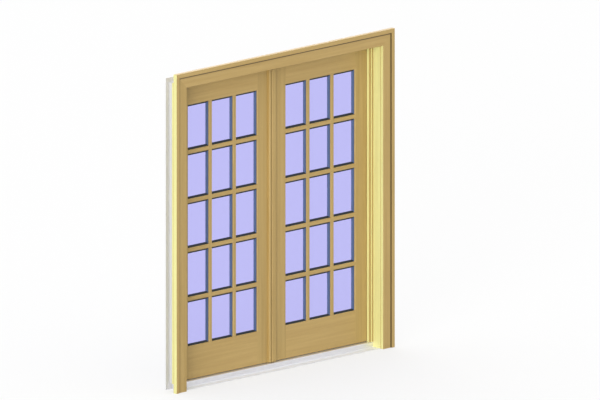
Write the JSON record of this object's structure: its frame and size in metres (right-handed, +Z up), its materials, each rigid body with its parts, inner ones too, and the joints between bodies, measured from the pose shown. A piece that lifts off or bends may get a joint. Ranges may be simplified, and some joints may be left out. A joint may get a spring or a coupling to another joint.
{
  "type": "french doors",
  "caption": "Pair of wooden french doors with divided glass panes, hung in a frame with casing, outer trim and sill, opening outward.",
  "frame": {"origin": "on the floor under the sill, midway along it and in the middle of the wall's thickness", "axes": "+X to the right seen from the room, +Y from the room to the outside, +Z up"},
  "size_m": [2.085, 0.201, 2.186],
  "materials": {
    "interior_wood": "tan wood with a smooth satin varnish",
    "pale_pine": "pale yellow pine with a clear satin varnish",
    "white_paint": "white painted timber, satin",
    "grey_paint": "blue grey painted timber, satin",
    "sill_aluminium": "pale grey anodised extrusion",
    "glass": "clear float glass with a pale blue violet tint",
    "seal_rubber": "matt black rubber",
    "hinge_steel": "satin steel"
  },
  "bodies": {
    "frame": {"left_frame_post": "white_paint", "right_frame_post": "white_paint", "frame_head": "white_paint", "left_lining": "pale_pine", "right_lining": "pale_pine", "head_lining": "pale_pine", "left_stop": "pale_pine", "right_stop": "pale_pine", "head_stop": "pale_pine", "left_seal": "seal_rubber", "right_seal": "seal_rubber", "head_seal": "seal_rubber", "left_casing": "interior_wood", "right_casing": "interior_wood", "head_casing": "interior_wood", "left_outer_trim": "white_paint", "right_outer_trim": "white_paint", "head_outer_trim": "white_paint", "sill": "sill_aluminium", "left_sill_plugs": "sill_aluminium", "right_sill_plugs": "sill_aluminium", "floor_plate": "white_paint", "left_hinge_frame_plates": "hinge_steel", "left_hinge_pins": "hinge_steel", "right_hinge_frame_plates": "hinge_steel", "right_hinge_pins": "hinge_steel"},
    "left_leaf": {"left_hinge_stile": "interior_wood", "left_meeting_stile": "interior_wood", "left_top_rail": "interior_wood", "left_bottom_rail": "interior_wood", "left_upright_bars": "interior_wood", "left_cross_bars": "interior_wood", "left_glass_panes": "glass", "left_glazing_beads": "grey_paint", "left_sweep": "seal_rubber", "left_cover_strip": "interior_wood", "left_hinge_leaf_plates": "hinge_steel"},
    "right_leaf": {"right_hinge_stile": "interior_wood", "right_meeting_stile": "interior_wood", "right_top_rail": "interior_wood", "right_bottom_rail": "interior_wood", "right_upright_bars": "interior_wood", "right_cross_bars": "interior_wood", "right_glass_panes": "glass", "right_glazing_beads": "grey_paint", "right_sweep": "seal_rubber", "astragal": "interior_wood", "meeting_seal": "seal_rubber", "right_hinge_leaf_plates": "hinge_steel"},
    "top_bolt": {"top_flush_bolt": "hinge_steel"},
    "bottom_bolt": {"bottom_flush_bolt": "hinge_steel"}
  },
  "joints": [
    {"name": "left_leaf_swing", "type": "hinge", "parent": "frame", "child": "left_leaf", "pos_m": [-0.933, 0.0965, 1.059], "axis": [0, 0, 1], "range_deg": [0, 170]},
    {"name": "right_leaf_swing", "type": "hinge", "parent": "frame", "child": "right_leaf", "pos_m": [0.933, 0.0965, 1.059], "axis": [0, 0, -1], "range_deg": [0, 170]},
    {"name": "top_bolt_slide", "type": "slide", "parent": "right_leaf", "child": "top_bolt", "axis": [0, 0, 1], "range_m": [0, 0.02]},
    {"name": "bottom_bolt_slide", "type": "slide", "parent": "right_leaf", "child": "bottom_bolt", "axis": [0, 0, -1], "range_m": [0, 0.026]}
  ]
}
